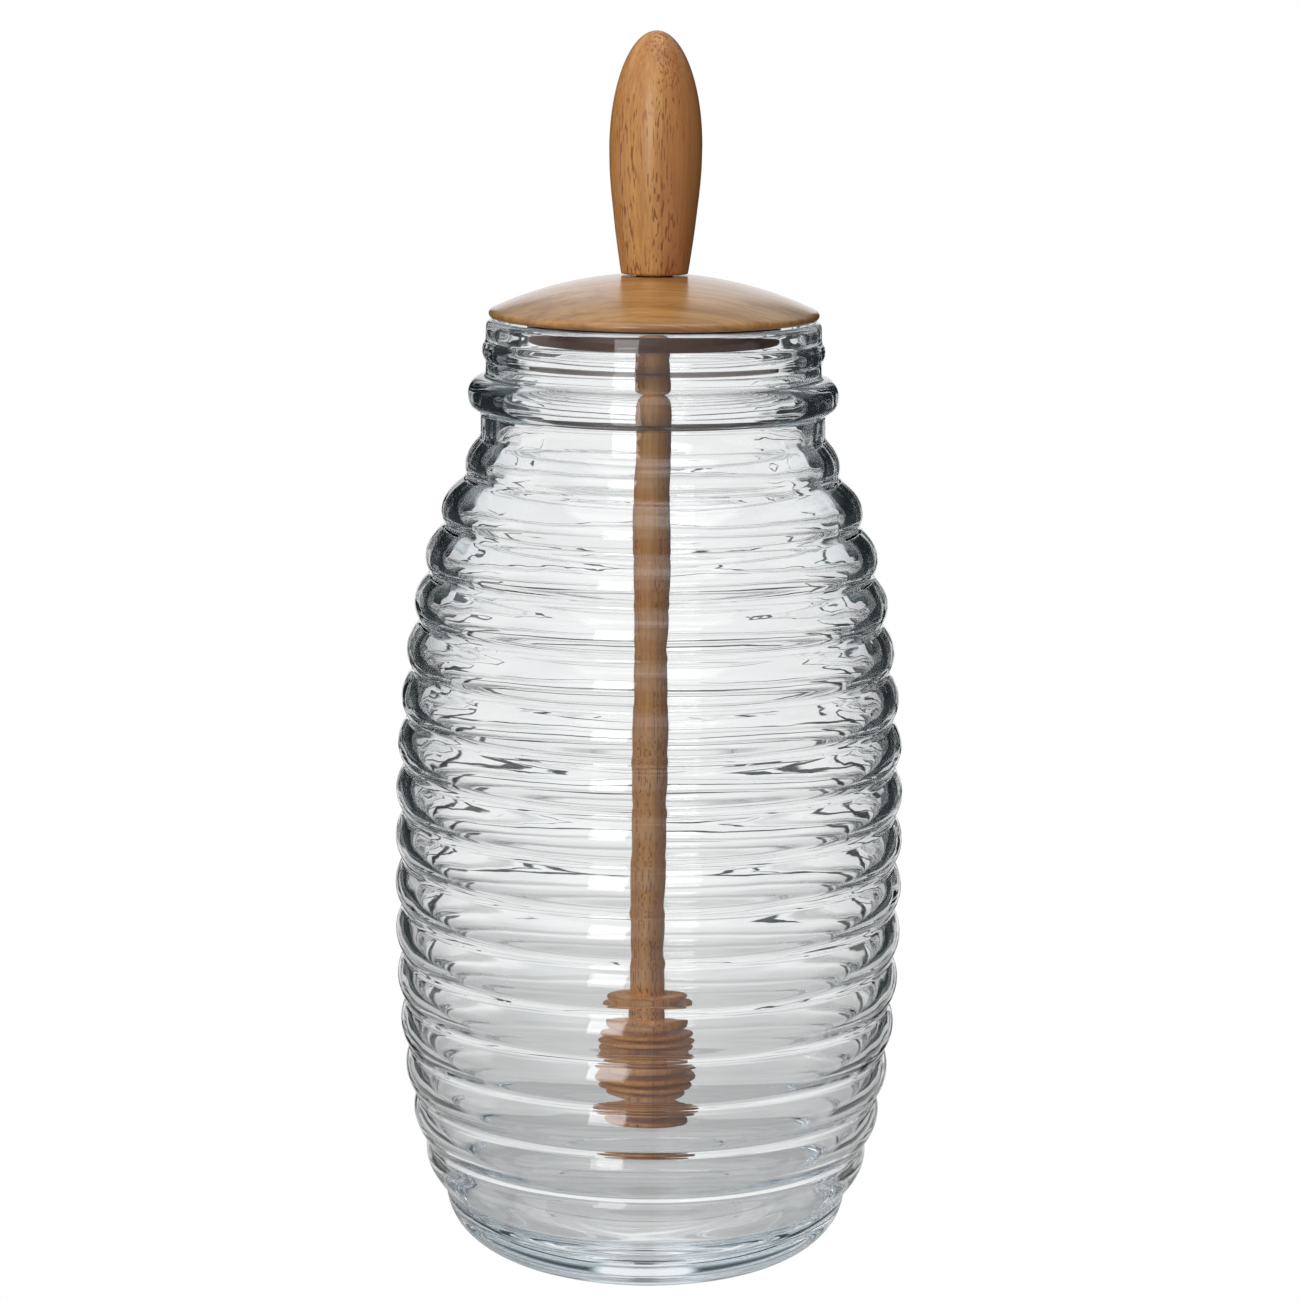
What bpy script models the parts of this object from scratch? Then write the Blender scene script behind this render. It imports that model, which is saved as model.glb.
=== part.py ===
# Honey pot with dipper: a ribbed glass jar, a domed wooden lid that rests on its rim, and a turned
# wooden dipper whose stick passes through the lid and hangs in the jar.
# Metres, +Z up, the origin at the centre of the base.
from math import acos, cos, pi, sin

import bpy
import numpy as np

GAP = 0.0003  # between pieces that touch

# Jar, outside
RIB_COUNT = 15
RIB_PITCH = 0.0100
FIRST_GROOVE_Z = 0.0134
BELLY = ((0.0134, 0.0422), (0.0234, 0.0459), (0.0334, 0.0481), (0.0534, 0.0504), (0.0834, 0.0510),
         (0.1134, 0.0499), (0.1334, 0.0474), (0.1534, 0.0424), (0.1634, 0.0380))  # height, radius in the grooves
RIB_BULGE = 0.0017  # of a rib at the waist
BULGE_WAIST_Z = 0.060
BULGE_GROWTH = 0.09  # more bulge, per metre of height squared
RIB_SIDES = 4

BASE_RING_R = 0.0250
BASE_CORNER_POWER = 0.93  # 1 is a quarter of an ellipse, less is fuller
BASE_RING_INNER_R = 0.0200
PUSH_UP = 0.0018  # of the underside, inside its resting ring

SHOULDER_Z = 0.1714
SHOULDER_BULGE = 0.0014
LOWER_NECK_R = 0.0353
NECK_R = 0.0343
RING_Z = 0.1804
RING_R = 0.03785
RING_HALF_HEIGHT = 0.0035
BEAD_Z = 0.1890
BEAD_R = 0.0350
BEAD_HALF_HEIGHT = 0.0018
RIM_Z = 0.1953
RIM_R = 0.0342
RIM_ROUND = 0.0012

# Jar, inside
WALL = 0.0030  # behind a groove
FLOOR_Z = 0.0085
FLOOR_CORNER_Z = 0.0200
FLOOR_CORNER_WIDTH = 1.3  # of the inside corner, as a multiple of its height
MOUTH_R = 0.0313
MOUTH_END_Z = 0.1810
LOWER_MOUTH_R = 0.0323
LOWER_MOUTH_Z = 0.1715

# Lid
LID_R = 0.0337
LID_EDGE = 0.0009  # radius of the rounded edge
LID_TOP_Z = 0.2047  # of the dome, were it not flat under the handle
SEAT_R = 0.0075  # of the flat under the handle
PLUG_R = 0.0258
PLUG_DEPTH = 0.0050  # below the lid's underside
PLUG_ROUND = 0.0006

# Dipper
STICK_R = 0.00365
HANDLE = ((0.2046, 0.00680), (0.2081, 0.00733), (0.2129, 0.00800), (0.2178, 0.00857), (0.2226, 0.00908),
          (0.2262, 0.00932), (0.2300, 0.00940))  # height, radius, up to the middle of the crown's ellipse
HANDLE_TOP_Z = 0.2533
HEAD_TOP_Z = 0.0493
HEAD_BOTTOM_Z = 0.0243
HEAD_R = 0.0108
HEAD_END_R = 0.0082
HEAD_CORE_R = 0.0040
DISC_COUNT = 6
DISC_SHARE = 0.54  # of the pitch that is disc
DISC_ROUND = 0.0006  # how far a disc's rim bulges

JAR_STEPS = 40
LID_STEPS = 40
DIPPER_STEPS = 24


def clear_scene():
    for obj in list(bpy.data.objects):
        bpy.data.objects.remove(obj)


def principled(name, color, roughness, transmission=0.0, ior=1.5):
    material = bpy.data.materials.new(name)
    material.use_nodes = True
    shader = material.node_tree.nodes["Principled BSDF"]
    shader.inputs["Base Color"].default_value = (*color, 1.0)
    shader.inputs["Roughness"].default_value = roughness
    shader.inputs["Metallic"].default_value = 0.0
    shader.inputs["Transmission Weight"].default_value = transmission
    shader.inputs["IOR"].default_value = ior
    material.diffuse_color = (*color, 1.0)
    return material


def radius_at(stations, z):
    """Radius at height z on the smooth curve through (height, radius) stations, a cubic in each span."""
    heights, radii = np.array(stations).T
    slopes = np.gradient(radii, heights)
    span = int(np.clip(np.searchsorted(heights, z) - 1, 0, len(heights) - 2))
    length = heights[span + 1] - heights[span]
    t = (z - heights[span]) / length
    start = (1 + 2 * t) * (1 - t) ** 2 * radii[span] + t * (1 - t) ** 2 * length * slopes[span]
    end = t * t * (3 - 2 * t) * radii[span + 1] + t * t * (t - 1) * length * slopes[span + 1]
    return float(start + end)


def arc(center_r, center_z, across, up, start, end, count):
    """Points (radius, height) of an ellipse's arc between two angles, the first and last included."""
    return [(center_r + across * cos(a), center_z + up * sin(a)) for a in np.linspace(start, end, count)]


def bead(root_r, crest_r, center_z, half_height, count):
    """A half-round bead on a cylinder, from its upper edge down to its lower one."""
    return arc(root_r, center_z, crest_r - root_r, half_height, pi / 2, -pi / 2, count)


def rib(top, bottom, bulge, sides):
    """A rib from one groove down to the next: the straight chord with a parabola's bulge on it."""
    points = []
    for t in np.linspace(0, 1, sides + 1)[:-1]:
        r = top[0] + (bottom[0] - top[0]) * t + bulge * 4 * t * (1 - t)
        points.append((r, top[1] + (bottom[1] - top[1]) * t))
    return points


def turned(name, profile, steps, material, collection):
    """Turns a profile of (radius, height) points about the vertical axis, smooth except at sharp corners."""
    mesh = bpy.data.meshes.new(name)
    points = [(r, 0.0, z) for r, z in profile]
    edges = [(i, i + 1) for i in range(len(points) - 1)]
    mesh.from_pydata(points, edges, [])
    mesh.materials.append(material)
    obj = bpy.data.objects.new(name, mesh)
    collection.objects.link(obj)
    screw = obj.modifiers.new("Turn", "SCREW")
    screw.axis = "Z"
    screw.steps = steps
    screw.render_steps = steps
    screw.use_merge_vertices = True
    screw.merge_threshold = 0.00001
    screw.use_smooth_shade = True
    return obj


def jar_outside():
    """The jar's outer side from the rim down to the resting ring."""
    points = [(RIM_R, RIM_Z - RIM_ROUND)]
    points += bead(NECK_R, BEAD_R, BEAD_Z, BEAD_HALF_HEIGHT, 5)
    points += bead(NECK_R, RING_R, RING_Z, RING_HALF_HEIGHT, 7)[:-1]
    points += [(LOWER_NECK_R, RING_Z - RING_HALF_HEIGHT)]
    grooves = [FIRST_GROOVE_Z + RIB_PITCH * i for i in range(RIB_COUNT + 1)]
    top_groove = (radius_at(BELLY, grooves[-1]), grooves[-1])
    points += rib((LOWER_NECK_R, SHOULDER_Z), top_groove, SHOULDER_BULGE, RIB_SIDES)
    for lower, upper in reversed(list(zip(grooves, grooves[1:]))):
        middle = (lower + upper) / 2
        bulge = RIB_BULGE + BULGE_GROWTH * (middle - BULGE_WAIST_Z) ** 2
        top = (radius_at(BELLY, upper), upper)
        bottom = (radius_at(BELLY, lower), lower)
        points += rib(top, bottom, bulge, RIB_SIDES)
    side_r = radius_at(BELLY, FIRST_GROOVE_Z)
    for a in np.linspace(0, pi / 2, 7):
        r = BASE_RING_R + (side_r - BASE_RING_R) * cos(a) ** BASE_CORNER_POWER
        points.append((r, FIRST_GROOVE_Z * (1 - sin(a) ** BASE_CORNER_POWER)))
    return points


def jar_inside():
    """The jar's inner side from the middle of its floor up to the rim."""
    corner_r = radius_at(BELLY, FLOOR_CORNER_Z) - WALL
    rise = FLOOR_CORNER_Z - FLOOR_Z
    across = rise * FLOOR_CORNER_WIDTH
    points = [(0.0, FLOOR_Z)]
    points += arc(corner_r - across, FLOOR_CORNER_Z, across, rise, -pi / 2, 0, 5)
    heights = np.linspace(FLOOR_CORNER_Z, BELLY[-1][0], 12)[1:]
    points += [(radius_at(BELLY, z) - WALL, z) for z in heights]
    points += [(LOWER_MOUTH_R, LOWER_MOUTH_Z), (MOUTH_R, MOUTH_END_Z)]
    points += [(MOUTH_R, RIM_Z - RIM_ROUND)]
    return points


def make_jar(collection):
    glass = principled("Clear glass", (0.86, 0.90, 0.90), 0.02, transmission=1.0, ior=1.52)
    inner_lip = arc(MOUTH_R + RIM_ROUND, RIM_Z - RIM_ROUND, RIM_ROUND, RIM_ROUND, pi * 3 / 4, pi / 2, 2)
    outer_lip = arc(RIM_R - RIM_ROUND, RIM_Z - RIM_ROUND, RIM_ROUND, RIM_ROUND, pi / 2, pi / 4, 2)
    underside = arc(0.0, 0.0, BASE_RING_INNER_R, PUSH_UP, 0, pi / 2, 4)
    profile = jar_inside() + inner_lip + outer_lip + jar_outside() + underside
    return turned("jar", profile, JAR_STEPS, glass, collection)


def lid_dome():
    """The dome's radius: a circle from the top that meets the edge's small circle with no corner."""
    across = LID_R - LID_EDGE
    rise = LID_TOP_Z - (RIM_Z + GAP + LID_EDGE)
    return (across ** 2 + rise ** 2 - LID_EDGE ** 2) / (2 * (rise - LID_EDGE))


def seat_z():
    """Height of the flat on the dome that the handle stands on."""
    dome_r = lid_dome()
    return LID_TOP_Z - dome_r + (dome_r ** 2 - SEAT_R ** 2) ** 0.5


def make_lid(collection):
    wood = principled("Oiled wood, lid", (0.52, 0.29, 0.13), 0.45)
    under_z = RIM_Z + GAP
    hole_r = STICK_R + GAP
    dome_r = lid_dome()
    seat_angle = acos(SEAT_R / dome_r)
    edge_angle = acos((LID_R - LID_EDGE) / (dome_r - LID_EDGE))
    top = [(hole_r, seat_z())]
    top += arc(0.0, LID_TOP_Z - dome_r, dome_r, dome_r, seat_angle, edge_angle, 7)
    edge = arc(LID_R - LID_EDGE, under_z + LID_EDGE, LID_EDGE, LID_EDGE, edge_angle, -pi / 2, 6)[1:]
    plug_bottom = under_z - PLUG_DEPTH
    plug = [(PLUG_R, under_z), (PLUG_R, plug_bottom + PLUG_ROUND), (PLUG_R - PLUG_ROUND, plug_bottom),
            (hole_r, plug_bottom), (hole_r, seat_z())]
    return turned("lid", top + edge + plug, LID_STEPS, wood, collection)


def dipper_head():
    """The head's outline from its top down: discs on a core, their rims on a barrel curve."""
    height = HEAD_TOP_Z - HEAD_BOTTOM_Z
    pitch = height / (DISC_COUNT - 1 + DISC_SHARE)
    thickness = pitch * DISC_SHARE
    points = []
    for i in range(DISC_COUNT):
        top = HEAD_TOP_Z - pitch * i
        across = 2 * (top - thickness / 2 - HEAD_BOTTOM_Z) / height - 1
        rim_r = HEAD_END_R + (HEAD_R - HEAD_END_R) * (1 - across * across)
        points.append((STICK_R if i == 0 else HEAD_CORE_R, top))
        points += bead(rim_r - DISC_ROUND, rim_r, top - thickness / 2, thickness / 2, 5)
        if i < DISC_COUNT - 1:
            points.append((HEAD_CORE_R, top - thickness))
    points.append((0.0, HEAD_BOTTOM_Z))
    return points


def make_dipper(collection):
    wood = principled("Oiled wood, dipper", (0.48, 0.26, 0.12), 0.5)
    foot_z = seat_z() + GAP
    last_z, last_r = HANDLE[-1]
    crown = arc(0.0, last_z, last_r, HANDLE_TOP_Z - last_z, pi / 2, 0, 11)
    heights = np.linspace(last_z, foot_z, 8)[1:]
    handle = [(radius_at(HANDLE, z), z) for z in heights]
    profile = crown + handle + [(STICK_R, foot_z)] + dipper_head()
    return turned("dipper", profile, DIPPER_STEPS, wood, collection)


def main():
    clear_scene()
    pot = bpy.data.collections.new("Honey pot with dipper")
    bpy.context.scene.collection.children.link(pot)
    make_jar(pot)
    make_lid(pot)
    make_dipper(pot)


main()
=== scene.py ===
# Honey pot with dipper: ribbed clear glass, an oiled wood lid and a turned wood dipper in a white studio.
from math import cos, pi, radians, sin

import bpy
import numpy as np
from mathutils import Matrix, Vector


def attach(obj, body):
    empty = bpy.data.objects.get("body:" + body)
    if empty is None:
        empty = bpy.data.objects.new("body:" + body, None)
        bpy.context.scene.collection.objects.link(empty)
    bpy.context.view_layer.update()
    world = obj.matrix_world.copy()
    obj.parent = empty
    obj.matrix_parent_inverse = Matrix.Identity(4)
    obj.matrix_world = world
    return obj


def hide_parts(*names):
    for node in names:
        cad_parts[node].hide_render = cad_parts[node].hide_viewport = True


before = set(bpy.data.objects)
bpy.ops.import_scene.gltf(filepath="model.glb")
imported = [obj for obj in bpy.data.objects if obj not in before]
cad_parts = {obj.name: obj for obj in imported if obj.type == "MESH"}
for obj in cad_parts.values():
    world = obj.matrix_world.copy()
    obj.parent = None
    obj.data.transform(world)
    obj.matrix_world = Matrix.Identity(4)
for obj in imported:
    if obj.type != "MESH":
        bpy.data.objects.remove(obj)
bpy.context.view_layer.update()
print("CAD frame loaded")


# Profiles and turned meshes

def smoothThrough(stations, at):
    # A cubic in each span between (place, value) stations, with slopes taken from the neighbours:
    # the four Hermite terms in t, which runs from 0 to 1 along the span.
    places, values = np.array(stations, float).T
    slopes = np.gradient(values, places)
    span = np.clip(np.searchsorted(places, at) - 1, 0, len(places) - 2)
    length = places[span + 1] - places[span]
    t = (at - places[span]) / length
    left = (1 + 2 * t) * (1 - t) ** 2 * values[span] + t * (1 - t) ** 2 * length * slopes[span]
    right = t * t * (3 - 2 * t) * values[span + 1] + t * t * (t - 1) * length * slopes[span + 1]
    return left + right


def arcPoints(centre, across, up, start, end, count):
    # An ellipse's arc: (radius, height) = centre + (across * cos a, up * sin a), a going from start to end.
    a = np.linspace(start, end, count)
    return np.stack([centre[0] + across * np.cos(a), centre[1] + up * np.sin(a)], 1)


def softened(outline, radius, step=0.0001):
    # The outline walked in even steps, then averaged along its length with a bell curve of that radius,
    # which turns each corner into a small fillet. The two ends stay where they are.
    gaps = np.hypot(*np.diff(outline, axis=0).T)
    keep = np.concatenate([[True], gaps > 1e-9])
    outline = outline[keep]
    walked = np.concatenate([[0], np.cumsum(np.hypot(*np.diff(outline, axis=0).T))])
    at = np.linspace(0, walked[-1], int(walked[-1] / step))
    even = np.stack([np.interp(at, walked, outline[:, k]) for k in (0, 1)], 1)
    reach = int(3 * radius / step)
    bell = np.exp(-0.5 * (np.arange(-reach, reach + 1) * step / radius) ** 2)
    bell /= bell.sum()
    before = 2 * even[0] - even[reach:0:-1]
    after = 2 * even[-1] - even[-2:-reach - 2:-1]
    padded = np.concatenate([before, even, after])
    return np.stack([np.convolve(padded[:, k], bell, "valid") for k in (0, 1)], 1)


def closedOnAxis(outline):
    # The outline with both its ends put exactly on the axis.
    outline[:, 0] = np.maximum(outline[:, 0], 0)
    outline[[0, -1], 0] = 0
    return outline


def thinned(outline, density):
    # Picks points so that each stretch gets as many as its length times density(radius, height) asks for.
    steps = np.hypot(*np.diff(outline, axis=0).T) * density(outline[1:, 0], outline[1:, 1])
    walked = np.concatenate([[0], np.cumsum(steps)])
    at = np.linspace(0, walked[-1], int(walked[-1]) + 1)
    return np.stack([np.interp(at, walked, outline[:, k]) for k in (0, 1)], 1)


def turnedPiece(name, outline, around, material, wobble=None):
    # Point (i, j) of the surface is outline point i turned by angle j about the Z axis, its radius changed
    # by wobble(rings, angles). An outline's end on the axis becomes one pole, and an outline that doesn't
    # start there closes from its last ring to its first.
    startsOnAxis = outline[0, 0] < 1e-6
    endsOnAxis = outline[-1, 0] < 1e-6
    rings = outline[int(startsOnAxis):len(outline) - int(endsOnAxis)]
    angles = np.arange(around) * 2 * pi / around
    radii = rings[:, 0][:, None] * np.ones(around)
    heights = rings[:, 1][:, None] * np.ones(around)
    if wobble is not None:
        radii = radii + wobble(rings, angles[None, :])
    points = np.stack([radii * np.cos(angles), radii * np.sin(angles), heights], 2).reshape(-1, 3)
    count = len(rings)
    i = np.arange(count - 1)[:, None] * around
    j = np.arange(around)[None, :]
    k = (j + 1) % around
    last = (count - 1) * around
    faces = np.stack([i + j, i + around + j, i + around + k, i + k], 2).reshape(-1, 4).tolist()
    if startsOnAxis:
        points = np.concatenate([points, [[0, 0, outline[0, 1]]]])
        faces += np.stack([np.full(around, len(points) - 1), j[0], k[0]], 1).tolist()
    if endsOnAxis:
        points = np.concatenate([points, [[0, 0, outline[-1, 1]]]])
        faces += np.stack([np.full(around, len(points) - 1), last + k[0], last + j[0]], 1).tolist()
    if not startsOnAxis:
        faces += np.stack([last + j[0], j[0], k[0], last + k[0]], 1).tolist()
    mesh = bpy.data.meshes.new(name)
    mesh.from_pydata(points.tolist(), [], faces)
    mesh.polygons.foreach_set("use_smooth", [True] * len(faces))
    mesh.materials.append(material)
    mesh.update()
    piece = bpy.data.objects.new(name, mesh)
    bpy.context.scene.collection.objects.link(piece)
    return piece


# Materials

def newMaterial(name):
    material = bpy.data.materials.new(name)
    material.use_nodes = True
    tree = material.node_tree
    return material, tree, tree.nodes["Principled BSDF"]


def place(tree, kind, **values):
    # A node with its settings, and its inputs by name.
    node = tree.nodes.new(kind)
    for key, value in values.items():
        if hasattr(node, key):
            setattr(node, key, value)
        else:
            node.inputs[key].default_value = value
    return node


def setOrLink(tree, value, socket):
    # A plain number or colour is set on the socket, and anything else is linked to it.
    if isinstance(value, tuple):
        socket.default_value = (*value, 1)
    elif isinstance(value, (int, float)):
        socket.default_value = value
    else:
        tree.links.new(value, socket)


def maths(tree, operation, a, b=None):
    node = place(tree, "ShaderNodeMath", operation=operation)
    setOrLink(tree, a, node.inputs[0])
    if b is not None:
        setOrLink(tree, b, node.inputs[1])
    return node.outputs[0]


def ramp(tree, value, low, high, lowOut=0.0, highOut=1.0):
    # A smooth step from lowOut to highOut as the value goes from low to high.
    node = place(tree, "ShaderNodeMapRange", interpolation_type="SMOOTHSTEP")
    tree.links.new(value, node.inputs["Value"])
    node.inputs["From Min"].default_value = low
    node.inputs["From Max"].default_value = high
    node.inputs["To Min"].default_value = lowOut
    node.inputs["To Max"].default_value = highOut
    return node.outputs["Result"]


def mixed(tree, factor, first, second):
    # From the first number at factor 0 to the second at factor 1.
    node = place(tree, "ShaderNodeMix")
    for value, socket in ((factor, node.inputs[0]), (first, node.inputs[2]), (second, node.inputs[3])):
        setOrLink(tree, value, socket)
    return node.outputs[0]


def blend(tree, factor, first, second):
    # From the first colour at factor 0 to the second at factor 1.
    node = place(tree, "ShaderNodeMix", data_type="RGBA")
    for value, socket in ((factor, node.inputs[0]), (first, node.inputs[6]), (second, node.inputs[7])):
        setOrLink(tree, value, socket)
    return node.outputs[2]


def axes(tree, vector):
    # The X, Y and Z of a vector.
    split = place(tree, "ShaderNodeSeparateXYZ")
    tree.links.new(vector, split.inputs[0])
    return split.outputs


# Glass jar

jarLook = {
    "ribCount": 15, "ribPitch": 0.0100, "ribBulge": 0.0017, "waist": 0.060, "bulgeGrowth": 0.09,
    "baseR": 0.0250, "baseFullness": 0.93, "hollowR": 0.0200, "hollowDepth": 0.0018,
    "wall": 0.0030, "innerSoft": 0.0004, "floorZ": 0.0085, "cornerZ": 0.0200, "cornerWidth": 1.3,
    "shoulderSwell": 0.0014, "neckFoot": 0.1714, "lowerNeckR": 0.0353, "lowerNeckTop": 0.1768,
    "neckR": 0.0343, "neckTop": 0.1990,
    "ringZ": 0.1804, "ringOut": 0.00355, "ringHalf": 0.0035, "ringFullness": 0.7, "ringTurn": 1.40,
    "beadZ": 0.1890, "beadOut": 0.0007, "beadHalf": 0.0018,
    "lipZ": 0.1941, "lipR": 0.0330, "lipRound": 0.0012, "filletRadius": 0.00030,
    "around": 128, "wallRings": 1500.0, "floorRings": 500.0, "floorReach": 0.030,
    "glassColour": (0.985, 0.99, 0.99), "glassIor": 1.52,
    "thickColour": (0.80, 0.87, 0.93), "thickDensity": 8.0,
    "outerWobble": 0.000007, "innerWobble": 0.00003, "wobbleFade": 0.02, "crossTurns": 0.7, "crossRate": 1.6,
    "rippleHeight": 0.000001, "rippleScale": 170.0, "rippleFlat": 3.0, "neckRipple": 0.1,
    "rippleFrom": 0.164, "rippleTo": 0.172,
}
belly = ((0.0134, 0.0422), (0.0234, 0.0459), (0.0334, 0.0481), (0.0534, 0.0504), (0.0834, 0.0510),
         (0.1134, 0.0499), (0.1334, 0.0474), (0.1534, 0.0424), (0.1634, 0.0380))  # height, groove radius
waves = ((3, 0.045, 0.3), (5, 0.11, 1.9), (8, -0.16, 4.1),
         (11, 0.24, 2.7), (17, -0.33, 5.2), (23, 0.41, 0.8))  # turns round, radians per mm up, phase


def ribRise(z):
    # How far the outside stands over the line through the grooves: a parabola in each rib, zero in a
    # groove, and higher the farther the rib is from the waist.
    look = jarLook
    t = (z - belly[0][0]) / look["ribPitch"]
    index = np.clip(np.floor(t), 0, look["ribCount"] - 1)
    middle = belly[0][0] + (index + 0.5) * look["ribPitch"]
    bulge = look["ribBulge"] + look["bulgeGrowth"] * (middle - look["waist"]) ** 2
    return bulge * 4 * (t - index) * (1 - t + index)


def chordRadius(z):
    # The straight line from groove to groove, whose radii lie on the belly curve.
    grooves = belly[0][0] + jarLook["ribPitch"] * np.arange(jarLook["ribCount"] + 1)
    return np.interp(z, grooves, smoothThrough(belly, grooves))


def evenWall(z, outside):
    # The inner wall: the nearest point to the axis that is one wall thickness away from the outside,
    # min over outside points (r, h) of r - sqrt(wall^2 - (z - h)^2), averaged a little up the wall.
    wall, soft = jarLook["wall"], jarLook["innerSoft"]
    away = z[:, None] - outside[None, :, 1]
    depth = outside[None, :, 0] - np.sqrt(np.maximum(wall ** 2 - away ** 2, 0))
    radius = np.where(np.abs(away) < wall, depth, 1.0).min(1)
    step = z[1] - z[0]
    reach = int(3 * soft / step)
    bell = np.exp(-0.5 * (np.arange(-reach, reach + 1) * step / soft) ** 2)
    padded = np.pad(radius, reach, "reflect", reflect_type="odd")
    return np.convolve(padded, bell / bell.sum(), "valid")


def jarOutside():
    # The outside from the neck's foot down: a shoulder with a parabola's swell, the ribs, and a quarter
    # of a fuller ellipse to the resting ring.
    look = jarLook
    (grooveZ, grooveR), (topZ, topR) = belly[0], belly[-1]
    t = np.linspace(0, 1, 30)[1:]
    neckR, neckFoot = look["lowerNeckR"], look["neckFoot"]
    shoulder = np.stack([neckR + (topR - neckR) * t + look["shoulderSwell"] * 4 * t * (1 - t),
                         neckFoot + (topZ - neckFoot) * t], 1)
    z = np.linspace(topZ, grooveZ, 1500)[1:]
    ribs = np.stack([chordRadius(z) + ribRise(z), z], 1)
    a = np.linspace(0, pi / 2, 60)[1:]
    full = look["baseFullness"]
    baseCorner = np.stack([look["baseR"] + (grooveR - look["baseR"]) * np.cos(a) ** full,
                           grooveZ * (1 - np.sin(a) ** full)], 1)
    return np.concatenate([shoulder, ribs, baseCorner])


def jarNeck(mouthR):
    # The lip's two quarter circles, the bead's half ellipse, the ring with its fuller underside, and the
    # lower neck, from the mouth down the outside.
    look = jarLook
    neckR, lipRound, lipZ = look["neckR"], look["lipRound"], look["lipZ"]
    lipIn = arcPoints((mouthR + lipRound, lipZ), lipRound, lipRound, pi, pi / 2, 8)
    lipOut = arcPoints((look["lipR"], lipZ), lipRound, lipRound, pi / 2, 0, 8)
    bead = arcPoints((neckR, look["beadZ"]), look["beadOut"], look["beadHalf"], pi / 2, -pi / 2, 24)
    ringTop = arcPoints((neckR, look["ringZ"]), look["ringOut"], look["ringHalf"], pi / 2, 0, 24)
    a = np.linspace(0, look["ringTurn"], 40)[1:]
    full = look["ringFullness"]
    ringUnder = np.stack([neckR + look["ringOut"] * np.cos(a) ** full,
                          look["ringZ"] - look["ringHalf"] * np.sin(a) ** full], 1)
    lowerNeck = np.array([(look["lowerNeckR"], look["lowerNeckTop"]), (look["lowerNeckR"], look["neckFoot"])])
    return np.concatenate([lipIn, lipOut, bead, ringTop, ringUnder, lowerNeck])


def jarOutline():
    # One closed half section: inner floor, up the inside, over the lip, down the ribs, and under the base.
    # The inner wall follows the plain neck, without its ring and bead.
    look = jarLook
    outside = jarOutside()
    neckLine = np.array([(look["neckFoot"], look["lowerNeckR"]), (look["lowerNeckTop"], look["lowerNeckR"]),
                         (look["ringZ"] + look["ringHalf"], look["neckR"]), (look["neckTop"], look["neckR"])])
    z = np.linspace(look["neckTop"], look["neckFoot"] + 0.0001, 300)
    plainNeck = np.stack([np.interp(z, *neckLine.T), z], 1)
    z = np.linspace(look["cornerZ"], look["lipZ"], 900)
    inner = np.stack([evenWall(z, np.concatenate([plainNeck, outside])), z], 1)
    rise = look["cornerZ"] - look["floorZ"]
    across = rise * look["cornerWidth"]
    cornerR = inner[0, 0] - across
    floor = np.stack([np.linspace(0, cornerR, 30), np.full(30, look["floorZ"])], 1)
    corner = arcPoints((cornerR, look["cornerZ"]), across, rise, -pi / 2, 0, 24)
    under = arcPoints((0, 0), look["hollowR"], look["hollowDepth"], 0, pi / 2, 30)
    outline = np.concatenate([floor, corner, inner[1:], jarNeck(inner[-1, 0]), outside, under])
    return closedOnAxis(softened(outline, look["filletRadius"]))


def isInside(outline):
    # True up the inside of the jar, false from the top of the lip on and down the outside.
    return np.arange(len(outline)) < int(np.argmax(outline[:, 1]))


def glassWobble(rings, angles):
    # Slow swells of moulded glass, larger on the inside wall: the sum of waves
    # sin(turns * angle + rate * z + phase), each times a crossing wave with fewer turns and a steeper
    # slope, fading out towards the axis.
    look = jarLook
    z = rings[:, 1][:, None] * 1000
    total = 0
    for turns, rate, phase in waves:
        wave = np.sin(turns * angles + rate * z + phase)
        crossTurns = round(look["crossTurns"] * turns)
        total = total + wave * np.sin(crossTurns * angles - look["crossRate"] * rate * z + 2 * phase)
    fade = np.clip(rings[:, 0] / look["wobbleFade"], 0, 1)[:, None]
    return total * fade * np.where(isInside(rings)[:, None], look["innerWobble"], look["outerWobble"])


def glassMaterial():
    # Clear glass whose thick places go bluish, with a faint ripple that lies flat and calms at the neck.
    look = jarLook
    material, tree, shader = newMaterial("clearGlass")
    shader.inputs["Base Color"].default_value = (*look["glassColour"], 1)
    shader.inputs["Roughness"].default_value = 0.0
    shader.inputs["IOR"].default_value = look["glassIor"]
    shader.inputs["Transmission Weight"].default_value = 1.0
    coords = place(tree, "ShaderNodeTexCoord")
    stretch = place(tree, "ShaderNodeMapping", Scale=(1.0, 1.0, look["rippleFlat"]))
    tree.links.new(coords.outputs["Object"], stretch.inputs["Vector"])
    ripple = place(tree, "ShaderNodeTexNoise", Scale=look["rippleScale"], Detail=1.5)
    tree.links.new(stretch.outputs[0], ripple.inputs["Vector"])
    z = axes(tree, coords.outputs["Object"])["Z"]
    calm = ramp(tree, z, look["rippleFrom"], look["rippleTo"], 1.0, look["neckRipple"])
    bump = place(tree, "ShaderNodeBump", Strength=1.0, Distance=look["rippleHeight"])
    tree.links.new(maths(tree, "MULTIPLY", ripple.outputs["Fac"], calm), bump.inputs["Height"])
    tree.links.new(bump.outputs["Normal"], shader.inputs["Normal"])
    absorb = place(tree, "ShaderNodeVolumeAbsorption", Density=look["thickDensity"])
    absorb.inputs["Color"].default_value = (*look["thickColour"], 1)
    tree.links.new(absorb.outputs["Volume"], tree.nodes["Material Output"].inputs["Volume"])
    return material


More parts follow.
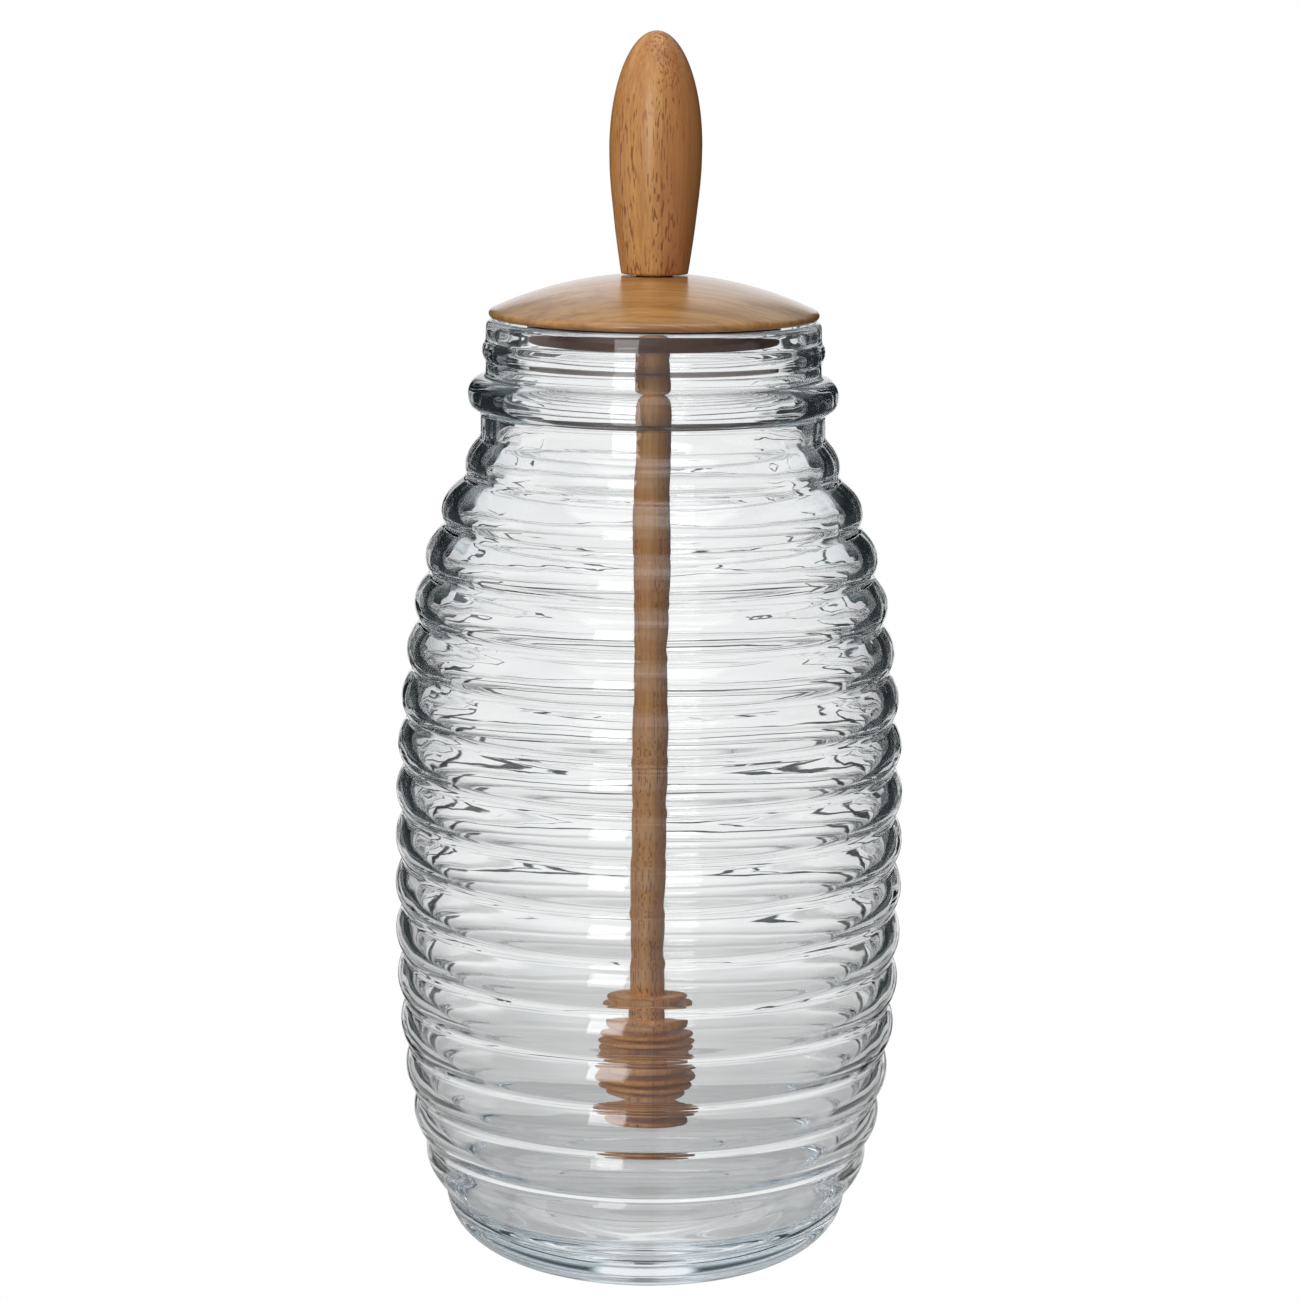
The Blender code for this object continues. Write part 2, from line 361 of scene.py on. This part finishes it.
def makeJar():
    look = jarLook
    outline = jarOutline()
    before = isInside(outline)
    inside = thinned(outline[before],
                     lambda r, z: np.where(r > look["floorReach"], look["wallRings"], look["floorRings"]))
    outside = thinned(outline[~before], lambda r, z: look["wallRings"])
    rings = np.concatenate([inside[:-1], outside])
    jar = turnedPiece("glassJar", rings, look["around"], glassMaterial(), glassWobble)
    jar.visible_shadow = False  # light reaches the stick and the floor through the glass
    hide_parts("jar")
    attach(jar, "root")
    print("glass jar made,", len(rings), "rings,", len(jar.data.polygons), "faces")


# Wood

woodLook = {
    "broad": (330, 330, 14), "fibres": (1500, 1500, 45),
    "clusters": (160, 160, 30), "pores": (2600, 2600, 260),
    "broadShare": 0.55, "redShare": 0.45, "seamShade": 0.12,
    "poreShare": 0.8, "poreColour": (0.20, 0.055, 0.016),
    "roughness": 0.36, "poreRoughness": 0.25, "gloss": 0.25, "coatRoughness": 0.17,
    "fibreRise": 0.25, "bumpStrength": 0.5, "bumpDepth": 0.00006, "filletRadius": 0.00015, "rings": 1800.0,
}


def grainGroup():
    # Wood with its fibres along Z of the vector. Stretched noises make the broad streaks, the fine fibres
    # and the short dark pores, which stand in clusters; past the seam the colour leans to red.
    look = woodLook
    group = bpy.data.node_groups.new("woodGrain", "ShaderNodeTree")
    colour, number = "NodeSocketColor", "NodeSocketFloat"
    for name, kind in (("Vector", "NodeSocketVector"), ("Pale", colour), ("Dark", colour), ("Red", colour),
                       ("Seam", number), ("Pores", number)):
        group.interface.new_socket(name, in_out="INPUT", socket_type=kind)
    for name, kind in (("Color", colour), ("Roughness", number), ("Height", number)):
        group.interface.new_socket(name, in_out="OUTPUT", socket_type=kind)
    given = place(group, "NodeGroupInput")
    result = place(group, "NodeGroupOutput")

    def streaks(scale, detail, offset, low, high):
        mapping = place(group, "ShaderNodeMapping", Scale=scale, Location=(offset, 2 * offset, 3 * offset))
        group.links.new(given.outputs["Vector"], mapping.inputs["Vector"])
        noise = place(group, "ShaderNodeTexNoise", Scale=1.0, Detail=detail)
        group.links.new(mapping.outputs[0], noise.inputs["Vector"])
        return ramp(group, noise.outputs["Fac"], low, high)

    broad = streaks(look["broad"], 2.0, 3.1, 0.34, 0.66)
    fibres = streaks(look["fibres"], 3.0, 7.7, 0.30, 0.70)
    clusters = streaks(look["clusters"], 1.0, 5.2, 0.36, 0.58)
    pores = maths(group, "MULTIPLY", streaks(look["pores"], 1.0, 1.3, 0.56, 0.64), clusters)
    pores = maths(group, "MULTIPLY", pores, given.outputs["Pores"])
    past = maths(group, "SUBTRACT", axes(group, given.outputs["Vector"])["X"], given.outputs["Seam"])
    red = ramp(group, past, -0.0001, 0.0002)
    tone = mixed(group, look["broadShare"], fibres, broad)
    wood = blend(group, tone, given.outputs["Dark"], given.outputs["Pale"])
    wood = blend(group, maths(group, "MULTIPLY", red, look["redShare"]), wood, given.outputs["Red"])
    seam = maths(group, "MULTIPLY", red, ramp(group, past, 0.0002, 0.0005, 1.0, 0.0))
    wood = blend(group, maths(group, "MULTIPLY", seam, look["seamShade"]), wood, (0, 0, 0))
    wood = blend(group, maths(group, "MULTIPLY", pores, look["poreShare"]), wood, look["poreColour"])
    group.links.new(wood, result.inputs["Color"])
    group.links.new(maths(group, "MULTIPLY", pores, look["poreRoughness"]), result.inputs["Roughness"])
    height = maths(group, "SUBTRACT", maths(group, "MULTIPLY", fibres, look["fibreRise"]), pores)
    group.links.new(height, result.inputs["Height"])
    return group


def woodMaterial(name, group, look, low, high):
    # Oiled wood above the height high. Under the height low it has no coat, and its colour is multiplied by a
    # painted shading colour: painted shade on the lid's plug, painted light on the dipper's stick and head
    # inside the glass.
    material, tree, shader = newMaterial(name)
    coords = place(tree, "ShaderNodeTexCoord")
    mapping = place(tree, "ShaderNodeMapping", Rotation=look["grainTurn"])
    tree.links.new(coords.outputs["Object"], mapping.inputs["Vector"])
    grain = place(tree, "ShaderNodeGroup", node_tree=group)
    tree.links.new(mapping.outputs[0], grain.inputs["Vector"])
    for socket, key in (("Pale", "pale"), ("Dark", "dark"), ("Red", "red")):
        grain.inputs[socket].default_value = (*look[key], 1)
    grain.inputs["Seam"].default_value = look["seamX"]
    grain.inputs["Pores"].default_value = look["pores"]
    z = axes(tree, coords.outputs["Object"])["Z"]
    # The grain colour times the painted shading colour: darker on the lid's plug as painted shade under the
    # lid, brighter on the dipper inside the glass as painted light.
    paintedShading = place(tree, "ShaderNodeVectorMath", operation="MULTIPLY")
    tree.links.new(grain.outputs["Color"], paintedShading.inputs[0])
    tree.links.new(blend(tree, ramp(tree, z, low, high), look["below"], (1, 1, 1)), paintedShading.inputs[1])
    tree.links.new(paintedShading.outputs[0], shader.inputs["Base Color"])
    roughness = maths(tree, "ADD", grain.outputs["Roughness"], woodLook["roughness"])
    tree.links.new(roughness, shader.inputs["Roughness"])
    tree.links.new(ramp(tree, z, low, high, 0.0, look["coat"]), shader.inputs["Coat Weight"])
    shader.inputs["Coat Roughness"].default_value = woodLook["coatRoughness"]
    shader.inputs["Specular IOR Level"].default_value = woodLook["gloss"]
    bump = place(tree, "ShaderNodeBump", Strength=woodLook["bumpStrength"], Distance=woodLook["bumpDepth"])
    tree.links.new(grain.outputs["Height"], bump.inputs["Height"])
    tree.links.new(bump.outputs["Normal"], shader.inputs["Normal"])
    return material


lidLook = {
    "topZ": 0.2047, "underZ": 0.1956, "lidR": 0.0337, "edgeR": 0.0009, "seatR": 0.0075, "holeR": 0.00395,
    "plugR": 0.0258, "plugDepth": 0.0050, "around": 128,
    "pale": (0.47, 0.245, 0.078), "dark": (0.280, 0.118, 0.029), "red": (0.280, 0.118, 0.029),
    "grainTurn": (0, radians(84), radians(14)), "seamX": 1.0, "pores": 0.25, "coat": 1.0,
    # The plug under the lid is darker and redder, a painted shade of the lid's underside; it also has no
    # coat.
    "below": (0.38, 0.24, 0.18), "belowFade": 0.0004,
}


def makeLid(group):
    # A dome that is part of a sphere, meeting the rim's small round where both have the same slope, over a
    # plain plug with the stick's hole. Gives back the height at which the handle sits on the dome.
    look = lidLook
    edgeR, topZ, underZ, holeR = look["edgeR"], look["topZ"], look["underZ"], look["holeR"]
    across = look["lidR"] - edgeR
    rise = topZ - (underZ + edgeR)
    domeR = (across ** 2 + rise ** 2 - edgeR ** 2) / (2 * (rise - edgeR))
    edgeAngle = np.arccos(across / (domeR - edgeR))
    seatAngle = np.arccos(look["seatR"] / domeR)
    seatZ = topZ - domeR + np.sqrt(domeR ** 2 - look["seatR"] ** 2)
    dome = arcPoints((0, topZ - domeR), domeR, domeR, seatAngle, edgeAngle, 60)
    edge = arcPoints((across, underZ + edgeR), edgeR, edgeR, edgeAngle, -pi / 2, 20)
    plugZ = underZ - look["plugDepth"]
    plug = np.array([(look["plugR"], underZ), (look["plugR"], plugZ), (holeR, plugZ), (holeR, seatZ)])
    outline = np.concatenate([[(holeR, seatZ)], dome, edge, plug])
    outline = thinned(softened(outline, woodLook["filletRadius"]), lambda r, z: woodLook["rings"])
    material = woodMaterial("lidWood", group, look, underZ - look["belowFade"], underZ)
    lid = turnedPiece("woodLid", outline[:-1], look["around"], material)
    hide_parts("lid")
    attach(lid, "root")
    print("lid made,", len(lid.data.polygons), "faces")
    return seatZ


dipperLook = {
    "crownZ": 0.2300, "crownR": 0.00940, "crownHigh": 0.0233, "seatGap": 0.0003,
    "stickR": 0.00365, "headTop": 0.0493, "headBottom": 0.0243, "discs": 6, "discShare": 0.54,
    "discR": 0.0108, "endDiscR": 0.0082, "discRound": 0.0006, "coreR": 0.0040,
    "around": 96, "stickRings": 300.0, "stickFrom": 0.056, "stickTo": 0.19,
    "pale": (0.56, 0.285, 0.092), "dark": (0.39, 0.155, 0.044), "red": (0.40, 0.138, 0.044),
    "grainTurn": (0, 0, 0), "seamX": 0.0012, "pores": 1.0, "coat": 0.35,
    # The stick and head below the lid are 1.8 times brighter, painted light that makes up for light the glass
    # holds back; they also have no coat.
    "below": (1.80, 1.80, 1.80), "belowFade": 0.0002,
}
handle = ((0.2046, 0.00680), (0.2081, 0.00733), (0.2129, 0.00800), (0.2178, 0.00857), (0.2226, 0.00908),
          (0.2262, 0.00932), (0.2300, 0.00940))  # height, radius


def dipperHead():
    # Discs at an even pitch from the top down, with round rims. A rim's radius falls from the middle to
    # both ends with the square of its distance, and the core shows between discs.
    look = dipperLook
    height = look["headTop"] - look["headBottom"]
    pitch = height / (look["discs"] - 1 + look["discShare"])
    thick = pitch * look["discShare"]
    parts = []
    for i in range(look["discs"]):
        top = look["headTop"] - pitch * i
        across = 2 * (top - thick / 2 - look["headBottom"]) / height - 1
        rimR = look["endDiscR"] + (look["discR"] - look["endDiscR"]) * (1 - across * across)
        parts.append([(look["stickR"] if i == 0 else look["coreR"], top)])
        rim = (rimR - look["discRound"], top - thick / 2)
        parts.append(arcPoints(rim, look["discRound"], thick / 2, pi / 2, -pi / 2, 12))
        if i < look["discs"] - 1:
            parts.append([(look["coreR"], top - thick)])
    parts.append([(0, look["headBottom"])])
    return np.concatenate(parts)


def makeDipper(group, seatZ):
    # The handle is half an ellipse over a smooth curve through its stations, then come stick and head.
    look = dipperLook
    footZ = seatZ + look["seatGap"]
    crown = arcPoints((0, look["crownZ"]), look["crownR"], look["crownHigh"], pi / 2, 0, 80)
    z = np.linspace(look["crownZ"], footZ, 120)[1:]
    grip = np.stack([smoothThrough(handle, z), z], 1)
    outline = np.concatenate([crown, grip, [(look["stickR"], footZ)], dipperHead()])
    outline = thinned(softened(outline, woodLook["filletRadius"]),
                      lambda r, z: np.where((z > look["stickFrom"]) & (z < look["stickTo"]),
                                            look["stickRings"], woodLook["rings"]))
    material = woodMaterial("dipperWood", group, look, footZ - look["belowFade"], footZ)
    dipper = turnedPiece("woodDipper", closedOnAxis(outline), look["around"], material)
    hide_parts("dipper")
    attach(dipper, "root")
    print("dipper made,", len(dipper.data.polygons), "faces")


# Studio. Angles are in degrees. The camera sees plain white behind the object, and only the glass and the
# wood see the room's pale and dark parts.

roomLook = {
    "panelHalfAngle": 10.5, "panelSoft": 2.0, "panelTop": 40.0, "panelTopSoft": 4.0, "panelLight": 1.0,
    "surround": 0.02, "upperSide": 0.60, "upperFrom": 14.0, "upperTo": 34.0,
    "windowLeft": 0.80, "windowRight": 0.12, "windowFrom": 76.0, "windowTo": 104.0, "windowSoft": 3.0,
    "roomLeft": 1.20, "roomRight": 0.34, "roomSoft": 0.6, "frontFrom": 115.0, "frontTo": 150.0,
    "ceiling": 0.42, "ceilingFrom": 36.0, "ceilingTo": 54.0,
    "sideTint": (0.72, 0.92, 1.0), "ceilingTint": (0.93, 0.965, 1.0),
}
white = (1, 1, 1)


def between(tree, value, low, high, soft):
    # One between low and high and zero outside, with soft edges.
    start = ramp(tree, value, low - soft, low + soft)
    return maths(tree, "MULTIPLY", start, ramp(tree, value, high - soft, high + soft, 1.0, 0.0))


def makeRoom():
    # The angle is measured from straight behind the object, and the rise from the horizon.
    look = roomLook
    world = bpy.data.worlds.new("studio")
    world.use_nodes = True
    tree = world.node_tree
    tree.nodes.clear()
    coords = place(tree, "ShaderNodeTexCoord")
    x, y, z = axes(tree, coords.outputs["Generated"])
    angle = maths(tree, "ABSOLUTE", maths(tree, "ARCTAN2", x, y))
    rise = maths(tree, "ARCSINE", z)
    half, soft = look["panelHalfAngle"], look["panelSoft"]
    top, topSoft = look["panelTop"], look["panelTopSoft"]
    panel = maths(tree, "MULTIPLY", ramp(tree, angle, radians(half - soft), radians(half + soft), 1.0, 0.0),
                  ramp(tree, rise, radians(top - topSoft), radians(top + topSoft), 1.0, 0.0))
    window = between(tree, angle, radians(look["windowFrom"]), radians(look["windowTo"]),
                     radians(look["windowSoft"]))
    windowLight = ramp(tree, x, -0.1, 0.1, look["windowLeft"], look["windowRight"])
    side = ramp(tree, rise, radians(look["upperFrom"]), radians(look["upperTo"]),
                look["surround"], look["upperSide"])
    front = ramp(tree, x, -look["roomSoft"], look["roomSoft"], look["roomLeft"], look["roomRight"])
    forward = ramp(tree, angle, radians(look["frontFrom"]), radians(look["frontTo"]))
    above = ramp(tree, rise, radians(look["ceilingFrom"]), radians(look["ceilingTo"]))
    light = mixed(tree, forward, mixed(tree, window, side, windowLight), front)
    light = mixed(tree, panel, light, look["panelLight"])
    light = mixed(tree, above, light, look["ceiling"])
    tint = blend(tree, maths(tree, "MAXIMUM", forward, window), look["sideTint"], white)
    tint = blend(tree, panel, tint, white)
    tint = blend(tree, above, tint, look["ceilingTint"])
    camera = place(tree, "ShaderNodeLightPath").outputs["Is Camera Ray"]
    shader = place(tree, "ShaderNodeBackground")
    tree.links.new(maths(tree, "MAXIMUM", light, camera), shader.inputs["Strength"])
    tree.links.new(blend(tree, camera, tint, white), shader.inputs["Color"])
    out = place(tree, "ShaderNodeOutputWorld")
    tree.links.new(shader.outputs[0], out.inputs["Surface"])
    bpy.context.scene.world = world


floorLook = {
    "half": 12.0, "floorZ": -0.0002,
    # centreLight and nearLight make a painted shadow of the object on the glowing floor.
    "centreLight": 0.425, "nearLight": 0.60, "farLight": 0.96, "frontLight": 0.45, "sideLight": 0.04,
    "centreEnd": 0.055, "nearStart": 0.075, "nearEnd": 0.10, "farStart": 0.32,
    "seamLight": 0.05, "seamSoft": 0.4, "backSeam": 0.50, "backSeamHalf": 0.038,
    "sideSeam": 0.085, "sideSeamSpread": 0.10, "sideSeamHalf": 0.011,
    "boardHalf": 0.128, "boardSpread": 0.176, "boardFront": 0.15, "boardSoft": 0.01, "frontSoft": 0.05,
    "windowNarrow": 0.20, "windowWide": 0.30, "windowStart": 0.3, "windowEnd": 0.5,
}


def darkLine(tree, distance, half):
    # One on the line and zero away from it, with soft edges.
    soft = floorLook["seamSoft"]
    return ramp(tree, distance, half * (1 - soft), half * (1 + soft), 1.0, 0.0)


def makeFloor():
    # A pale board under and behind the object, with dark floor at both sides. It has one thin dark line
    # across and one up each side, |x| = sideSeam + sideSeamSpread * y, and a pale window far out at the left
    # and the right.
    look = floorLook
    half, level = look["half"], look["floorZ"]
    corners = [(-half, -half, level), (half, -half, level), (half, half, level), (-half, half, level)]
    mesh = bpy.data.meshes.new("studioFloor")
    mesh.from_pydata(corners, [], [(0, 1, 2, 3)])
    floor = bpy.data.objects.new("studioFloor", mesh)
    bpy.context.scene.collection.objects.link(floor)
    material, tree, shader = newMaterial("paleFloor")
    coords = place(tree, "ShaderNodeTexCoord")
    x, y = axes(tree, coords.outputs["Object"])[:2]
    out = maths(tree, "ABSOLUTE", x)
    behind = maths(tree, "MAXIMUM", y, 0.0)
    squares = maths(tree, "ADD", maths(tree, "MULTIPLY", x, x), maths(tree, "MULTIPLY", y, y))
    away = maths(tree, "SQRT", squares)
    # The floor gives off its own light, and that light is lower round the object: a painted shadow,
    # centreLight under it and nearLight beside it, rising to farLight farther out.
    board = ramp(tree, away, look["nearEnd"], look["farStart"], look["nearLight"], look["farLight"])
    board = mixed(tree, ramp(tree, away, look["centreEnd"], look["nearStart"]), look["centreLight"], board)
    fromBack = maths(tree, "ABSOLUTE", maths(tree, "SUBTRACT", y, look["backSeam"]))
    along = maths(tree, "ADD", maths(tree, "MULTIPLY", behind, look["sideSeamSpread"]), look["sideSeam"])
    fromSide = maths(tree, "ABSOLUTE", maths(tree, "SUBTRACT", out, along))
    seams = maths(tree, "MAXIMUM", darkLine(tree, fromBack, look["backSeamHalf"]),
                  darkLine(tree, fromSide, look["sideSeamHalf"]))
    board = mixed(tree, seams, board, look["seamLight"])
    edge = maths(tree, "SUBTRACT", out, maths(tree, "MULTIPLY", behind, look["boardSpread"]))
    soft = look["boardSoft"]
    inside = ramp(tree, edge, look["boardHalf"] - soft, look["boardHalf"] + soft, 1.0, 0.0)
    line = -look["boardFront"]
    notFront = ramp(tree, y, line - soft, line + soft)
    dim = ramp(tree, y, line - look["frontSoft"], line + look["frontSoft"],
               look["frontLight"], look["sideLight"])
    slope = maths(tree, "DIVIDE", maths(tree, "ABSOLUTE", y), maths(tree, "MAXIMUM", out, 0.01))
    window = maths(tree, "MULTIPLY", ramp(tree, slope, look["windowNarrow"], look["windowWide"], 1.0, 0.0),
                   ramp(tree, out, look["windowStart"], look["windowEnd"]))
    windowLight = ramp(tree, x, -0.1, 0.1, roomLook["windowLeft"], roomLook["windowRight"])
    pale = maths(tree, "MULTIPLY", inside, notFront)
    light = mixed(tree, pale, mixed(tree, window, dim, windowLight), board)
    inFront = maths(tree, "SUBTRACT", 1.0, notFront)
    neutral = maths(tree, "MAXIMUM", maths(tree, "MAXIMUM", pale, window), inFront)
    tint = blend(tree, neutral, roomLook["sideTint"], white)
    camera = place(tree, "ShaderNodeLightPath").outputs["Is Camera Ray"]
    shader.inputs["Base Color"].default_value = (0, 0, 0, 1)
    shader.inputs["Specular IOR Level"].default_value = 0
    tree.links.new(blend(tree, camera, tint, white), shader.inputs["Emission Color"])
    tree.links.new(maths(tree, "MAXIMUM", light, camera), shader.inputs["Emission Strength"])
    mesh.materials.append(material)


lightLook = {
    "keyTurn": -18.0, "keyRise": 11.0, "keyDistance": 1.2, "keyAim": 0.1,
    "keyWide": 0.34, "keyHigh": 0.90, "keyPower": 3.6,
    "topFront": 0.25, "topHeight": 1.05, "topAim": 0.15, "topSize": 1.1, "topPower": 5.0,
    "fillTurn": -60.0, "fillRise": 40.0, "fillDistance": 1.2, "fillAim": 0.15,
    "fillSize": 0.6, "fillPower": 3.2,
}


def areaLight(name, aim, offset, wide, high, power):
    # A soft lamp at that offset from the point at height aim on the axis, turned towards the point.
    data = bpy.data.lights.new(name, "AREA")
    data.shape = "RECTANGLE"
    data.size = wide
    data.size_y = high
    data.energy = power
    lamp = bpy.data.objects.new(name, data)
    lamp.location = Vector((0, 0, aim)) + offset
    lamp.rotation_euler = offset.to_track_quat("Z", "Y").to_euler()
    lamp.visible_camera = False
    bpy.context.scene.collection.objects.link(lamp)
    return lamp


def offsetAt(turn, rise, distance):
    # The offset at that turn from the front, that rise and that distance.
    turn, rise = radians(turn), radians(rise)
    return Vector((sin(turn) * cos(rise), -cos(turn) * cos(rise), sin(rise))) * distance


def makeLights():
    look = lightLook
    areaLight("softKey", look["keyAim"], offsetAt(look["keyTurn"], look["keyRise"], look["keyDistance"]),
              look["keyWide"], look["keyHigh"], look["keyPower"])
    areaLight("softTop", look["topAim"], Vector((0, -look["topFront"], look["topHeight"])),
              look["topSize"], look["topSize"], look["topPower"])
    fill = areaLight("softFill", look["fillAim"],
                     offsetAt(look["fillTurn"], look["fillRise"], look["fillDistance"]),
                     look["fillSize"], look["fillSize"], look["fillPower"])
    fill.visible_glossy = False  # it lifts the wood and leaves no mark on the glass
    fill.visible_transmission = False


cameraLook = {"left": 0.00015, "back": 0.720, "height": 0.2575, "dip": 10.27, "roll": 0.577, "lens": 98.0}


def makeCamera():
    look = cameraLook
    data = bpy.data.cameras.new("photoCamera")
    data.lens = look["lens"]
    data.sensor_width = 36
    data.clip_start = 0.01
    camera = bpy.data.objects.new("photoCamera", data)
    tilt = Matrix.Rotation(radians(90 - look["dip"]), 4, "X")
    roll = Matrix.Rotation(radians(look["roll"]), 4, "Z")
    camera.matrix_world = Matrix.Translation((-look["left"], -look["back"], look["height"])) @ tilt @ roll
    bpy.context.scene.collection.objects.link(camera)
    bpy.context.scene.camera = camera


makeJar()
grain = grainGroup()
makeDipper(grain, makeLid(grain))
makeRoom()
makeFloor()
makeLights()
makeCamera()

scene = bpy.context.scene
scene.view_settings.view_transform = "Standard"
scene.cycles.max_bounces = 32
scene.cycles.transmission_bounces = 32
scene.cycles.glossy_bounces = 12
scene.cycles.caustics_reflective = False
scene.cycles.caustics_refractive = False
print("studio ready")
